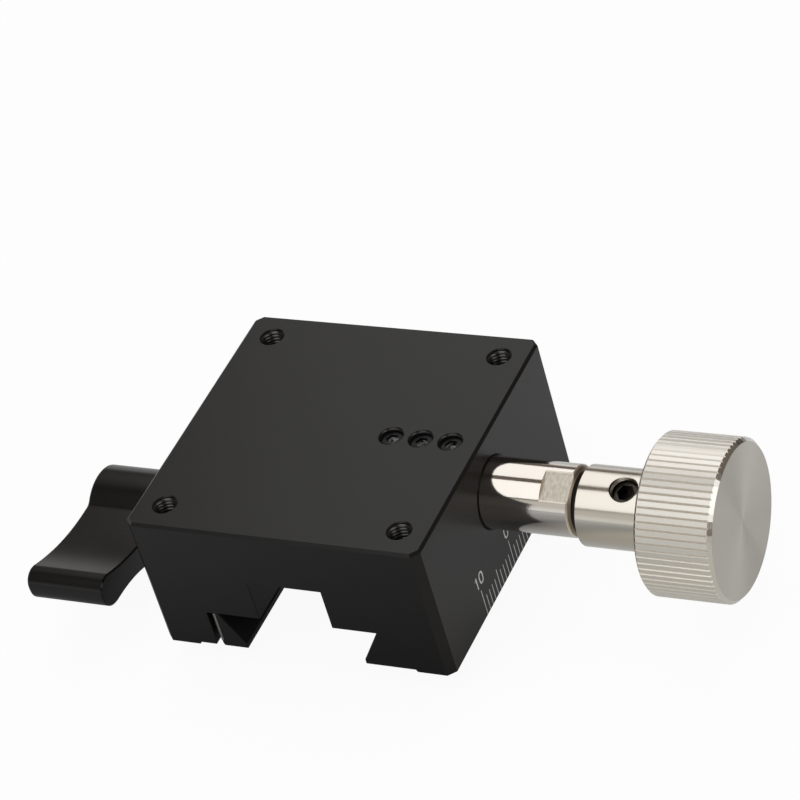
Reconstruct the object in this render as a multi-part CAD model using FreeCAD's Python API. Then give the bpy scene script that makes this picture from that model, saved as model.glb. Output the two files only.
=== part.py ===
import FreeCAD, Part
import math
import os

# Carriage of a manual linear stage: dovetail slide, rack pinion drive in an eccentric sleeve, lever lock.
# Frame: X towards the knob, Y towards the back, Z up. The origin is the centre of the top face.
# All sizes are in millimetres.

# Carriage block
BLOCK_SIDE = 40.0
BLOCK_HEIGHT = 19.8
CORNER_CHAMFER = 1.0
TOP_CHAMFER = 0.35
END_EDGE_CHAMFER = 0.08
UNDERSIDE_RELIEF = 0.35
PAD_WIDTH = 4.9
PAD_STEP_RUN = 0.2

# Dovetail and rack channel, heights above the underside of the block
DOVETAIL_ROOF = 5.85
DOVETAIL_NOSE_X = 8.2
DOVETAIL_NOSE_HEIGHT = 1.05
DOVETAIL_ANGLE = 60.0
CHANNEL_WIDTH = 10.0
CHANNEL_ROOF = 11.8

# Flexure slit that frees the clamping jaw
SLIT_OUTER_X = -12.5
SLIT_WIDTH = 0.85
SLIT_TOP = 5.8
SLIT_MOUTH_RUN = 0.17
SLIT_MOUTH_RISE = 0.45

# Table holes and sleeve set screws in the top face
TABLE_HOLE_EDGE = 4.0
TABLE_HOLE_RADIUS = 1.5
TABLE_HOLE_DEPTH = 6.0
TABLE_RIM_RADIUS = 1.65
DRILL_POINT_HEIGHT = 0.8
SLEEVE_SCREW_EDGE = 4.0
SLEEVE_SCREW_PITCH = 4.0
SCREW_HOLE_RADIUS = 1.5
SCREW_RIM_RADIUS = 1.65

# Eccentric sleeve
SLEEVE_AXIS_Z = -7.7
SLEEVE_RADIUS = 4.5
SLEEVE_CLEARANCE = 0.02
SLEEVE_STAND_OUT = 12.0
SLEEVE_CHAMFER = 0.5
BORE_END_ROOM = 1.5
BORE_MOUTH_CHAMFER = 0.25
ECCENTRICITY = 0.5
FLAT_ACROSS = 8.0
FLAT_LENGTH = 4.0
FLAT_ANGLE = 115.6
SLEEVE_RELIEF_RADIUS = 2.4

# Bearing bushes
BUSH_RADIUS = 2.75
BUSH_LENGTH = 6.0
BUSH_FIT = 0.01
RUNNING_CLEARANCE = 0.02

# Pinion shaft
SHAFT_RADIUS = 2.0
SHAFT_END_ROOM = 0.5
SHAFT_CHAMFER = 0.3
SHAFT_FLAT_DISTANCE = 1.3
SHAFT_FLAT_LENGTH = 4.4
GEAR_MODULE = 0.5
GEAR_TEETH = 12
PRESSURE_ANGLE = 20.0
GEAR_DEDENDUM = 1.25
GEAR_HALF_WIDTH = 4.5
FLANK_POINTS = 6

# Washers on the shaft
INNER_WASHER_RADIUS = 3.2
OUTER_WASHER_RADIUS = 3.9
OUTER_WASHER_THICKNESS = 0.3
WASHER_BORE_CLEARANCE = 0.05

# Knob
KNOB_RADIUS = 9.97
GRIP_LENGTH = 9.8
HUB_LENGTH = 10.2
KNOB_FRONT_CHAMFER = 0.5
KNOB_BACK_CHAMFER = 0.3
HUB_RADIUS = 5.0
HUB_CHAMFER_RUN = 0.55
HUB_CHAMFER_DROP = 1.0
KNOB_BORE_DEPTH = 16.0
ENVELOPE_MARGIN = 0.2
FLUTE_COUNT = 72
FLUTE_DEPTH = 0.16
FLUTE_HALF_WIDTH = 0.15
FLUTE_PHASE = 3.4

# Knob set screw
KNOB_SCREW_SETBACK = 6.3
KNOB_SCREW_ANGLE = 107.5
KNOB_SCREW_RADIUS = 1.66
KNOB_SCREW_LENGTH = 2.7
KNOB_SCREW_HOLE_RADIUS = 1.7
KNOB_SCREW_RIM_RADIUS = 1.85
KNOB_SCREW_RIM_DEPTH = 0.45
KNOB_SCREW_SOCKET = 2.0
KNOB_SCREW_SOCKET_DEPTH = 1.4

# Sleeve set screws
SLEEVE_SCREW_RADIUS = 1.47
SLEEVE_SCREW_TOP = -0.55
SLEEVE_SCREW_TIP_CHAMFER = 0.3
SLEEVE_SCREW_SOCKET = 1.5
SLEEVE_SCREW_SOCKET_DEPTH = 1.2

# Lock lever, section sizes relative to the hub centre
LEVER_AXIS_HEIGHT = 2.45
LEVER_WIDTH = 11.0
LEVER_HUB_RADIUS = 5.25
LEVER_REACH = 20.5
ARM_TOP_ARC_RADIUS = 33.4
ARM_TOP_LOW_Y = -5.4
ARM_TOP_LOW_Z = 3.53
ARM_UNDER_ARC_RADIUS = 21.3
ARM_UNDER_HIGH_Y = -17.3
ARM_UNDER_HIGH_Z = 1.32
TOP_THROAT_RADIUS = 1.2
UNDER_THROAT_RADIUS = 1.5
TIP_TOP_RADIUS = 1.85
TIP_UNDER_RADIUS = 2.6
LEVER_EDGE_CHAMFER = 0.2
LEVER_RECESS_RADIUS = 3.5
LEVER_RECESS_DEPTH = 3.0

# Lock stud and its swivel tip
STUD_THREAD_RADIUS = 1.47
STUD_SHOULDER_RADIUS = 3.3
STUD_SHOULDER_GAP = 1.4
STUD_SHOULDER_LENGTH = 5.4
STUD_BODY_RADIUS = 2.5
STUD_BODY_CLEARANCE = 0.02
STUD_BODY_GAP = 0.5
STUD_EDGE_CHAMFER = 0.3
TIP_DISC_RADIUS = 1.25
TIP_DISC_THICKNESS = 0.95
TIP_SPIGOT_RADIUS = 0.7
TIP_SPIGOT_LENGTH = 1.5
TIP_SPIGOT_CLEARANCE = 0.03
TIP_SPIGOT_END_ROOM = 0.2

# Lever screw and washer
LEVER_SCREW_RADIUS = 1.48
LEVER_SCREW_LENGTH = 6.0
LEVER_SCREW_HOLE_RADIUS = 1.5
LEVER_SCREW_HOLE_ROOM = 0.8
LEVER_SCREW_HEAD_RADIUS = 2.75
LEVER_SCREW_HEAD_HEIGHT = 2.0
LEVER_SCREW_SOCKET = 2.0
LEVER_SCREW_SOCKET_DEPTH = 1.2
LEVER_WASHER_RADIUS = 3.3
LEVER_WASHER_BORE = 1.6
LEVER_WASHER_THICKNESS = 0.5

# Sizes that follow from the ones above
HALF = BLOCK_SIDE / 2
SPINDLE_AXIS_Z = SLEEVE_AXIS_Z - ECCENTRICITY
PAD_INNER_X = HALF - PAD_WIDTH
TABLE_HOLE_OFFSET = HALF - TABLE_HOLE_EDGE
SLEEVE_SCREW_XS = tuple(HALF - SLEEVE_SCREW_EDGE - i * SLEEVE_SCREW_PITCH for i in (2, 1, 0))
BORE_RADIUS = SLEEVE_RADIUS + SLEEVE_CLEARANCE
CHANNEL_X = CHANNEL_WIDTH / 2
SLEEVE_START_X = CHANNEL_X
SLEEVE_END_X = HALF + SLEEVE_STAND_OUT
FLAT_START_X = SLEEVE_END_X - FLAT_LENGTH
BORE_END_X = -GEAR_HALF_WIDTH - BORE_END_ROOM
HUB_FACE_X = SLEEVE_END_X + OUTER_WASHER_THICKNESS
KNOB_GRIP_X = HUB_FACE_X + HUB_LENGTH
KNOB_END_X = KNOB_GRIP_X + GRIP_LENGTH
KNOB_BORE_END_X = HUB_FACE_X + KNOB_BORE_DEPTH
KNOB_SCREW_X = HUB_FACE_X + KNOB_SCREW_SETBACK
SHAFT_OUTER_X = KNOB_BORE_END_X - SHAFT_END_ROOM
JAW_FACE_X = SLIT_OUTER_X + SLIT_WIDTH
LEVER_AXIS_Z = LEVER_AXIS_HEIGHT - BLOCK_HEIGHT
STUD_SHOULDER_END_X = -HALF - STUD_SHOULDER_GAP
LEVER_INNER_X = STUD_SHOULDER_END_X - STUD_SHOULDER_LENGTH
LEVER_OUTER_X = LEVER_INNER_X - LEVER_WIDTH
STUD_FACE_X = JAW_FACE_X - TIP_DISC_THICKNESS
RECESS_FLOOR_X = LEVER_OUTER_X + LEVER_RECESS_DEPTH
WASHER_FACE_X = RECESS_FLOOR_X - LEVER_WASHER_THICKNESS
STUD_END_X = RECESS_FLOOR_X + STUD_BODY_GAP
CUT_MARGIN = 5.0


def vec(x, y, z):
    return FreeCAD.Vector(x, y, z)


def x_cylinder(radius, x0, x1, z, y=0.0):
    """Round bar along X."""
    return Part.makeCylinder(radius, x1 - x0, vec(x0, y, z), vec(1, 0, 0))


def x_turned(points, z, y=0.0):
    """Turned solid about an X axis from (x, radius) points, the first and last on the axis."""
    ring = [vec(px, y + pr, z) for px, pr in points]
    face = Part.Face(Part.makePolygon(ring + [ring[0]]))
    return face.revolve(vec(0, y, z), vec(1, 0, 0), 360)


def x_ring(outer, inner, x0, x1, z):
    """Flat washer or tube about an X axis."""
    return x_cylinder(outer, x0, x1, z).cut(x_cylinder(inner, x0 - CUT_MARGIN, x1 + CUT_MARGIN, z))


def prism_y(points, y0, y1):
    """Prism along Y from (x, z) points."""
    ring = [vec(px, y0, pz) for px, pz in points]
    return Part.Face(Part.makePolygon(ring + [ring[0]])).extrude(vec(0, y1 - y0, 0))


def hexagon_prism(across, depth, base, direction):
    """Hexagonal prism whose axis starts at base and runs along direction."""
    radius = across / math.sqrt(3)
    corners = [
        vec(radius * math.cos(math.radians(60 * i)), radius * math.sin(math.radians(60 * i)), 0)
        for i in range(6)
    ]
    solid = Part.Face(Part.makePolygon(corners + [corners[0]])).extrude(vec(0, 0, depth))
    turn = FreeCAD.Rotation(vec(0, 0, 1), direction)
    solid.Placement = FreeCAD.Placement(base, turn)
    return solid


def radial_place(shape, angle, x, z):
    """Puts a solid built along +Z on a radial line about an X axis, at an angle from +Y towards +Z."""
    turn = FreeCAD.Rotation(vec(1, 0, 0), angle - 90)
    shape.Placement = FreeCAD.Placement(vec(x, 0, z), turn)
    return shape


def tapped_hole(radius, rim, depth, x, y):
    """Blind hole down from the top face, with a countersunk rim and a drill point."""
    sink = rim - radius
    hole = Part.makeCylinder(radius, depth, vec(x, y, -depth))
    rim_cone = Part.makeCone(radius, rim + sink, 2 * sink, vec(x, y, -sink))
    point = Part.makeCone(0.0, radius, DRILL_POINT_HEIGHT, vec(x, y, -depth - DRILL_POINT_HEIGHT))
    return hole.fuse([rim_cone, point])


# Carriage block: outside shape with broken edges, cut by the profile that runs along Y


def block_envelope():
    c = CORNER_CHAMFER
    corners = [
        (HALF, -HALF + c), (HALF, HALF - c), (HALF - c, HALF), (-HALF + c, HALF),
        (-HALF, HALF - c), (-HALF, -HALF + c), (-HALF + c, -HALF), (HALF - c, -HALF),
    ]
    ring = [vec(px, py, -BLOCK_HEIGHT) for px, py in corners]
    solid = Part.Face(Part.makePolygon(ring + [ring[0]])).extrude(vec(0, 0, BLOCK_HEIGHT))
    top_edges = [e for e in solid.Edges if e.BoundBox.ZMin > -0.001]
    return solid.makeChamfer(TOP_CHAMFER, top_edges)


def block_profile():
    rise = DOVETAIL_ROOF - DOVETAIL_NOSE_HEIGHT
    roof_x = DOVETAIL_NOSE_X + rise / math.tan(math.radians(DOVETAIL_ANGLE))
    run = SLIT_MOUTH_RUN
    rise_end = UNDERSIDE_RELIEF + SLIT_MOUTH_RISE
    heights = [
        (HALF, 0), (HALF, BLOCK_HEIGHT), (-HALF, BLOCK_HEIGHT), (-HALF, 0),
        (-PAD_INNER_X, 0), (-PAD_INNER_X + PAD_STEP_RUN, UNDERSIDE_RELIEF),
        (SLIT_OUTER_X - run, UNDERSIDE_RELIEF), (SLIT_OUTER_X, rise_end),
        (SLIT_OUTER_X, SLIT_TOP), (JAW_FACE_X, SLIT_TOP),
        (JAW_FACE_X, rise_end), (JAW_FACE_X + run, UNDERSIDE_RELIEF),
        (-DOVETAIL_NOSE_X, UNDERSIDE_RELIEF), (-DOVETAIL_NOSE_X, DOVETAIL_NOSE_HEIGHT),
        (-roof_x, DOVETAIL_ROOF), (-CHANNEL_X, DOVETAIL_ROOF), (-CHANNEL_X, CHANNEL_ROOF),
        (CHANNEL_X, CHANNEL_ROOF), (CHANNEL_X, DOVETAIL_ROOF), (roof_x, DOVETAIL_ROOF),
        (DOVETAIL_NOSE_X, DOVETAIL_NOSE_HEIGHT), (DOVETAIL_NOSE_X, UNDERSIDE_RELIEF),
        (PAD_INNER_X - PAD_STEP_RUN, UNDERSIDE_RELIEF), (PAD_INNER_X, 0),
    ]
    return [(px, height - BLOCK_HEIGHT) for px, height in heights]


def carriage_block():
    solid = prism_y(block_profile(), -HALF, HALF)
    end_edges = [
        e for e in solid.Edges
        if e.BoundBox.YLength < 0.001 and e.BoundBox.ZMax < -0.1
        and not (e.BoundBox.XLength < 0.001 and abs(e.BoundBox.XMin) > HALF - 0.1)
    ]
    solid = solid.makeChamfer(END_EDGE_CHAMFER, end_edges)
    solid = solid.common(block_envelope())

    # Sleeve bore, open to the rack channel and ending blind beyond it
    cutters = [x_cylinder(BORE_RADIUS, BORE_END_X, HALF + CUT_MARGIN, SLEEVE_AXIS_Z)]
    mouth = Part.makeCone(
        BORE_RADIUS, BORE_RADIUS + 2 * BORE_MOUTH_CHAMFER, 2 * BORE_MOUTH_CHAMFER,
        vec(HALF - BORE_MOUTH_CHAMFER, 0, SLEEVE_AXIS_Z), vec(1, 0, 0),
    )
    cutters.append(mouth)

    # Table holes at the corners
    for sx in (-1, 1):
        for sy in (-1, 1):
            x = sx * TABLE_HOLE_OFFSET
            y = sy * TABLE_HOLE_OFFSET
            cutters.append(tapped_hole(TABLE_HOLE_RADIUS, TABLE_RIM_RADIUS, TABLE_HOLE_DEPTH, x, y))

    # Set screw holes that open into the sleeve bore
    for x in SLEEVE_SCREW_XS:
        depth = -SLEEVE_AXIS_Z
        sink = SCREW_RIM_RADIUS - SCREW_HOLE_RADIUS
        cutters.append(Part.makeCylinder(SCREW_HOLE_RADIUS, depth, vec(x, 0, -depth)))
        cutters.append(Part.makeCone(SCREW_HOLE_RADIUS, SCREW_RIM_RADIUS + sink, 2 * sink, vec(x, 0, -sink)))

    # Lock stud hole through the left leg, as far as the slit
    middle = (SLIT_OUTER_X + JAW_FACE_X) / 2
    cutters.append(x_cylinder(SCREW_HOLE_RADIUS, -HALF - CUT_MARGIN, middle, LEVER_AXIS_Z))
    return solid.cut(cutters)


# Eccentric sleeve: the spindle bore is below the outside axis, so turning the sleeve lifts the pinion


def eccentric_sleeve():
    c = SLEEVE_CHAMFER
    solid = x_turned(
        [
            (SLEEVE_START_X, 0), (SLEEVE_START_X, SLEEVE_RADIUS - c), (SLEEVE_START_X + c, SLEEVE_RADIUS),
            (SLEEVE_END_X - c, SLEEVE_RADIUS), (SLEEVE_END_X, SLEEVE_RADIUS - c), (SLEEVE_END_X, 0),
        ],
        SLEEVE_AXIS_Z,
    )
    flat_length = SLEEVE_END_X - FLAT_START_X + CUT_MARGIN
    for side in (0, 180):
        slab = Part.makeBox(
            flat_length, 2 * SLEEVE_RADIUS, CUT_MARGIN,
            vec(0, -SLEEVE_RADIUS, FLAT_ACROSS / 2),
        )
        solid = solid.cut(radial_place(slab, FLAT_ANGLE + side, FLAT_START_X, SLEEVE_AXIS_Z))
    bores = [x_cylinder(SLEEVE_RELIEF_RADIUS, SLEEVE_START_X - 1, SLEEVE_END_X + 1, SPINDLE_AXIS_Z)]
    inner_seat = SLEEVE_START_X + BUSH_LENGTH
    outer_seat = SLEEVE_END_X - BUSH_LENGTH
    bores.append(x_cylinder(BUSH_RADIUS, SLEEVE_START_X - 1, inner_seat, SPINDLE_AXIS_Z))
    bores.append(x_cylinder(BUSH_RADIUS, outer_seat, SLEEVE_END_X + 1, SPINDLE_AXIS_Z))
    return solid.cut(bores)


def bush(x0):
    bore = SHAFT_RADIUS + RUNNING_CLEARANCE
    return x_ring(BUSH_RADIUS - BUSH_FIT, bore, x0, x0 + BUSH_LENGTH, SPINDLE_AXIS_Z)


# Pinion shaft: involute teeth on the inner end


def involute(angle):
    return math.tan(angle) - angle


def gear_outline():
    """Points (y, z) of the pinion's end view, both flanks of each tooth as true involutes."""
    pitch_radius = GEAR_MODULE * GEAR_TEETH / 2
    base_radius = pitch_radius * math.cos(math.radians(PRESSURE_ANGLE))
    tip_radius = pitch_radius + GEAR_MODULE
    root_radius = pitch_radius - GEAR_DEDENDUM * GEAR_MODULE
    half_at_base = math.pi / (2 * GEAR_TEETH) + involute(math.radians(PRESSURE_ANGLE))
    flank = [(root_radius, half_at_base)]
    for i in range(FLANK_POINTS):
        radius = base_radius + (tip_radius - base_radius) * i / (FLANK_POINTS - 1)
        roll = math.acos(base_radius / radius)
        flank.append((radius, half_at_base - involute(roll)))
    points = []
    for tooth in range(GEAR_TEETH):
        centre = 2 * math.pi * tooth / GEAR_TEETH - math.pi / 2
        for radius, half in flank:
            points.append((radius * math.cos(centre - half), radius * math.sin(centre - half)))
        for radius, half in reversed(flank):
            points.append((radius * math.cos(centre + half), radius * math.sin(centre + half)))
    return points


def pinion_shaft():
    c = SHAFT_CHAMFER
    bar = x_turned(
        [
            (GEAR_HALF_WIDTH - 1, 0), (GEAR_HALF_WIDTH - 1, SHAFT_RADIUS),
            (SHAFT_OUTER_X - c, SHAFT_RADIUS), (SHAFT_OUTER_X, SHAFT_RADIUS - c), (SHAFT_OUTER_X, 0),
        ],
        SPINDLE_AXIS_Z,
    )
    slab = Part.makeBox(
        SHAFT_FLAT_LENGTH, 2 * SHAFT_RADIUS, CUT_MARGIN,
        vec(-SHAFT_FLAT_LENGTH / 2, -SHAFT_RADIUS, SHAFT_FLAT_DISTANCE),
    )
    bar = bar.cut(radial_place(slab, KNOB_SCREW_ANGLE, KNOB_SCREW_X, SPINDLE_AXIS_Z))
    ring = [vec(-GEAR_HALF_WIDTH, py, SPINDLE_AXIS_Z + pz) for py, pz in gear_outline()]
    gear = Part.Face(Part.makePolygon(ring + [ring[0]])).extrude(vec(2 * GEAR_HALF_WIDTH, 0, 0))
    return bar.fuse(gear).removeSplitter()


# Knob: hub with a set screw, straight flutes round the grip


def fluted_outline():
    """Points (y, z) round the grip: the two lips and the bottom of each flute."""
    lip = FLUTE_HALF_WIDTH / KNOB_RADIUS
    points = []
    for i in range(FLUTE_COUNT):
        middle = math.radians(FLUTE_PHASE) + 2 * math.pi * i / FLUTE_COUNT
        for radius, angle in (
            (KNOB_RADIUS, middle - lip), (KNOB_RADIUS - FLUTE_DEPTH, middle), (KNOB_RADIUS, middle + lip),
        ):
            points.append((radius * math.cos(angle), radius * math.sin(angle)))
    return points


def faceted_drum(profile):
    """Drum about the spindle axis with one flat side per lip between the flutes, from (x, radius) points."""
    rings = []
    for x, radius in profile:
        ring = []
        for i in range(FLUTE_COUNT):
            angle = math.radians(FLUTE_PHASE) + 2 * math.pi * i / FLUTE_COUNT
            ring.append(vec(x, radius * math.cos(angle), SPINDLE_AXIS_Z + radius * math.sin(angle)))
        rings.append(ring + [ring[0]])
    faces = [Part.Face(Part.makePolygon(rings[0])), Part.Face(Part.makePolygon(rings[-1]))]
    for near, far in zip(rings, rings[1:]):
        for i in range(FLUTE_COUNT):
            side = [near[i], near[i + 1], far[i + 1], far[i], near[i]]
            faces.append(Part.Face(Part.makePolygon(side)))
    return Part.Solid(Part.Shell(faces))


def knob():
    m = ENVELOPE_MARGIN
    envelope = faceted_drum([
        (KNOB_GRIP_X, KNOB_RADIUS - KNOB_BACK_CHAMFER),
        (KNOB_GRIP_X + KNOB_BACK_CHAMFER + m, KNOB_RADIUS + m),
        (KNOB_END_X - KNOB_FRONT_CHAMFER - m, KNOB_RADIUS + m),
        (KNOB_END_X, KNOB_RADIUS - KNOB_FRONT_CHAMFER),
    ])
    ring = [vec(KNOB_GRIP_X, py, SPINDLE_AXIS_Z + pz) for py, pz in fluted_outline()]
    grip = Part.Face(Part.makePolygon(ring + [ring[0]])).extrude(vec(GRIP_LENGTH, 0, 0)).common(envelope)
    hub = x_turned(
        [
            (HUB_FACE_X, 0), (HUB_FACE_X, HUB_RADIUS - HUB_CHAMFER_DROP),
            (HUB_FACE_X + HUB_CHAMFER_RUN, HUB_RADIUS),
            (KNOB_GRIP_X + 1, HUB_RADIUS), (KNOB_GRIP_X + 1, 0),
        ],
        SPINDLE_AXIS_Z,
    )
    body = grip.fuse(hub)
    bore = x_cylinder(SHAFT_RADIUS + RUNNING_CLEARANCE, HUB_FACE_X - 1, KNOB_BORE_END_X, SPINDLE_AXIS_Z)
    hole = Part.makeCylinder(KNOB_SCREW_HOLE_RADIUS, HUB_RADIUS + 1)
    rim_slope = (KNOB_SCREW_RIM_RADIUS - KNOB_SCREW_HOLE_RADIUS) / KNOB_SCREW_RIM_DEPTH
    rim = Part.makeCone(
        KNOB_SCREW_HOLE_RADIUS, KNOB_SCREW_RIM_RADIUS + rim_slope, KNOB_SCREW_RIM_DEPTH + 1,
        vec(0, 0, HUB_RADIUS - KNOB_SCREW_RIM_DEPTH),
    )
    hole = radial_place(hole.fuse(rim), KNOB_SCREW_ANGLE, KNOB_SCREW_X, SPINDLE_AXIS_Z)
    return body.cut([bore, hole])


def knob_set_screw():
    solid = Part.makeCylinder(KNOB_SCREW_RADIUS, KNOB_SCREW_LENGTH, vec(0, 0, SHAFT_FLAT_DISTANCE))
    top = SHAFT_FLAT_DISTANCE + KNOB_SCREW_LENGTH
    top_edges = [e for e in solid.Edges if e.BoundBox.ZMin > top - 0.001]
    solid = solid.makeChamfer(0.2, top_edges)
    socket = hexagon_prism(
        KNOB_SCREW_SOCKET, KNOB_SCREW_SOCKET_DEPTH + 1,
        vec(0, 0, top - KNOB_SCREW_SOCKET_DEPTH), vec(0, 0, 1),
    )
    return radial_place(solid.cut(socket), KNOB_SCREW_ANGLE, KNOB_SCREW_X, SPINDLE_AXIS_Z)


def sleeve_set_screw(x):
    bottom = SLEEVE_AXIS_Z + SLEEVE_RADIUS
    c = SLEEVE_SCREW_TIP_CHAMFER
    tip = Part.makeCone(SLEEVE_SCREW_RADIUS - c, SLEEVE_SCREW_RADIUS, c, vec(x, 0, bottom))
    height = SLEEVE_SCREW_TOP - bottom - c
    body = Part.makeCylinder(SLEEVE_SCREW_RADIUS, height, vec(x, 0, bottom + c))
    top_edges = [e for e in body.Edges if e.BoundBox.ZMin > SLEEVE_SCREW_TOP - 0.001]
    body = body.makeChamfer(0.15, top_edges)
    socket = hexagon_prism(
        SLEEVE_SCREW_SOCKET, SLEEVE_SCREW_SOCKET_DEPTH + 1,
        vec(x, 0, SLEEVE_SCREW_TOP - SLEEVE_SCREW_SOCKET_DEPTH), vec(0, 0, 1),
    )
    return tip.fuse(body).removeSplitter().cut(socket)


# Lock lever: one section along X, a round hub with a swept arm that thickens to its tip


def lever_edge(solid, y, z):
    """The edge along X that passes nearest to a point of the section, relative to the hub centre."""
    found = []
    for edge in solid.Edges:
        box = edge.BoundBox
        if box.XLength > LEVER_WIDTH - 0.01 and box.YLength < 0.001:
            found.append((math.hypot(box.YMin - y, box.ZMin - LEVER_AXIS_Z - z), edge))
    return [min(found, key=lambda item: item[0])[1]]


def arm_top(y):
    """Height of the arm's upper face over the hub centre."""
    drop = math.sqrt(ARM_TOP_ARC_RADIUS**2 - (y - ARM_TOP_LOW_Y) ** 2)
    return ARM_TOP_LOW_Z + ARM_TOP_ARC_RADIUS - drop


def arm_under(y):
    """Height of the arm's lower face over the hub centre."""
    rise = math.sqrt(ARM_UNDER_ARC_RADIUS**2 - (y - ARM_UNDER_HIGH_Y) ** 2)
    return ARM_UNDER_HIGH_Z - ARM_UNDER_ARC_RADIUS + rise


def throat_y(height):
    """Where one face of the arm runs into the hub's circle."""
    y = -LEVER_HUB_RADIUS
    for _ in range(20):
        y = -math.sqrt(LEVER_HUB_RADIUS**2 - height(y) ** 2)
    return y


def lock_lever():
    arm = Part.makeBox(
        LEVER_WIDTH, LEVER_REACH, LEVER_HUB_RADIUS + arm_top(-LEVER_REACH) + 1,
        vec(LEVER_OUTER_X, -LEVER_REACH, LEVER_AXIS_Z - LEVER_HUB_RADIUS),
    )
    top_axis_z = LEVER_AXIS_Z + ARM_TOP_LOW_Z + ARM_TOP_ARC_RADIUS
    under_axis_z = LEVER_AXIS_Z + ARM_UNDER_HIGH_Z - ARM_UNDER_ARC_RADIUS
    arm = arm.cut([
        x_cylinder(ARM_TOP_ARC_RADIUS, LEVER_OUTER_X - 1, LEVER_INNER_X + 1, top_axis_z, ARM_TOP_LOW_Y),
        x_cylinder(ARM_UNDER_ARC_RADIUS, LEVER_OUTER_X - 1, LEVER_INNER_X + 1, under_axis_z, ARM_UNDER_HIGH_Y),
    ])
    pieces = sorted(arm.Solids, key=lambda s: s.Volume)
    arm = pieces[-1]
    hub = x_cylinder(LEVER_HUB_RADIUS, LEVER_OUTER_X, LEVER_INNER_X, LEVER_AXIS_Z)
    solid = hub.fuse(arm).removeSplitter()
    corners = (
        (TOP_THROAT_RADIUS, throat_y(arm_top), arm_top(throat_y(arm_top))),
        (UNDER_THROAT_RADIUS, throat_y(arm_under), arm_under(throat_y(arm_under))),
        (TIP_TOP_RADIUS, -LEVER_REACH, arm_top(-LEVER_REACH)),
        (TIP_UNDER_RADIUS, -LEVER_REACH, arm_under(-LEVER_REACH)),
    )
    for radius, y, z in corners:
        solid = solid.makeFillet(radius, lever_edge(solid, y, z))
    rims = [e for e in solid.Edges if e.BoundBox.XLength < 0.001]
    solid = solid.makeChamfer(LEVER_EDGE_CHAMFER, rims)
    recess = x_cylinder(LEVER_RECESS_RADIUS, LEVER_OUTER_X - 1, RECESS_FLOOR_X, LEVER_AXIS_Z)
    bore_radius = STUD_BODY_RADIUS + STUD_BODY_CLEARANCE
    bore = x_cylinder(bore_radius, LEVER_OUTER_X - 1, LEVER_INNER_X + 1, LEVER_AXIS_Z)
    return solid.cut([recess, bore])


def lock_stud():
    c = STUD_EDGE_CHAMFER
    solid = x_turned(
        [
            (STUD_END_X, 0), (STUD_END_X, STUD_BODY_RADIUS), (LEVER_INNER_X, STUD_BODY_RADIUS),
            (LEVER_INNER_X, STUD_SHOULDER_RADIUS - c), (LEVER_INNER_X + c, STUD_SHOULDER_RADIUS),
            (STUD_SHOULDER_END_X - c, STUD_SHOULDER_RADIUS), (STUD_SHOULDER_END_X, STUD_SHOULDER_RADIUS - c),
            (STUD_SHOULDER_END_X, STUD_THREAD_RADIUS), (STUD_FACE_X - c, STUD_THREAD_RADIUS),
            (STUD_FACE_X, STUD_THREAD_RADIUS - c), (STUD_FACE_X, 0),
        ],
        LEVER_AXIS_Z,
    )
    screw_end = WASHER_FACE_X + LEVER_SCREW_LENGTH + LEVER_SCREW_HOLE_ROOM
    screw_hole = x_cylinder(LEVER_SCREW_HOLE_RADIUS, STUD_END_X - 1, screw_end, LEVER_AXIS_Z)
    spigot_room = TIP_SPIGOT_LENGTH + TIP_SPIGOT_END_ROOM
    spigot_hole = x_cylinder(
        TIP_SPIGOT_RADIUS + TIP_SPIGOT_CLEARANCE, STUD_FACE_X - spigot_room, STUD_FACE_X + 1, LEVER_AXIS_Z,
    )
    return solid.cut([screw_hole, spigot_hole])


def clamp_tip():
    return x_turned(
        [
            (STUD_FACE_X - TIP_SPIGOT_LENGTH, 0), (STUD_FACE_X - TIP_SPIGOT_LENGTH, TIP_SPIGOT_RADIUS),
            (STUD_FACE_X, TIP_SPIGOT_RADIUS), (STUD_FACE_X, TIP_DISC_RADIUS),
            (JAW_FACE_X, TIP_DISC_RADIUS), (JAW_FACE_X, 0),
        ],
        LEVER_AXIS_Z,
    )


def lever_screw():
    head_x = WASHER_FACE_X - LEVER_SCREW_HEAD_HEIGHT
    c = STUD_EDGE_CHAMFER
    solid = x_turned(
        [
            (head_x, 0), (head_x, LEVER_SCREW_HEAD_RADIUS - c), (head_x + c, LEVER_SCREW_HEAD_RADIUS),
            (WASHER_FACE_X, LEVER_SCREW_HEAD_RADIUS), (WASHER_FACE_X, LEVER_SCREW_RADIUS),
            (WASHER_FACE_X + LEVER_SCREW_LENGTH, LEVER_SCREW_RADIUS), (WASHER_FACE_X + LEVER_SCREW_LENGTH, 0),
        ],
        LEVER_AXIS_Z,
    )
    socket = hexagon_prism(
        LEVER_SCREW_SOCKET, LEVER_SCREW_SOCKET_DEPTH + 1, vec(head_x - 1, 0, LEVER_AXIS_Z), vec(1, 0, 0),
    )
    return solid.cut(socket)


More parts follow.
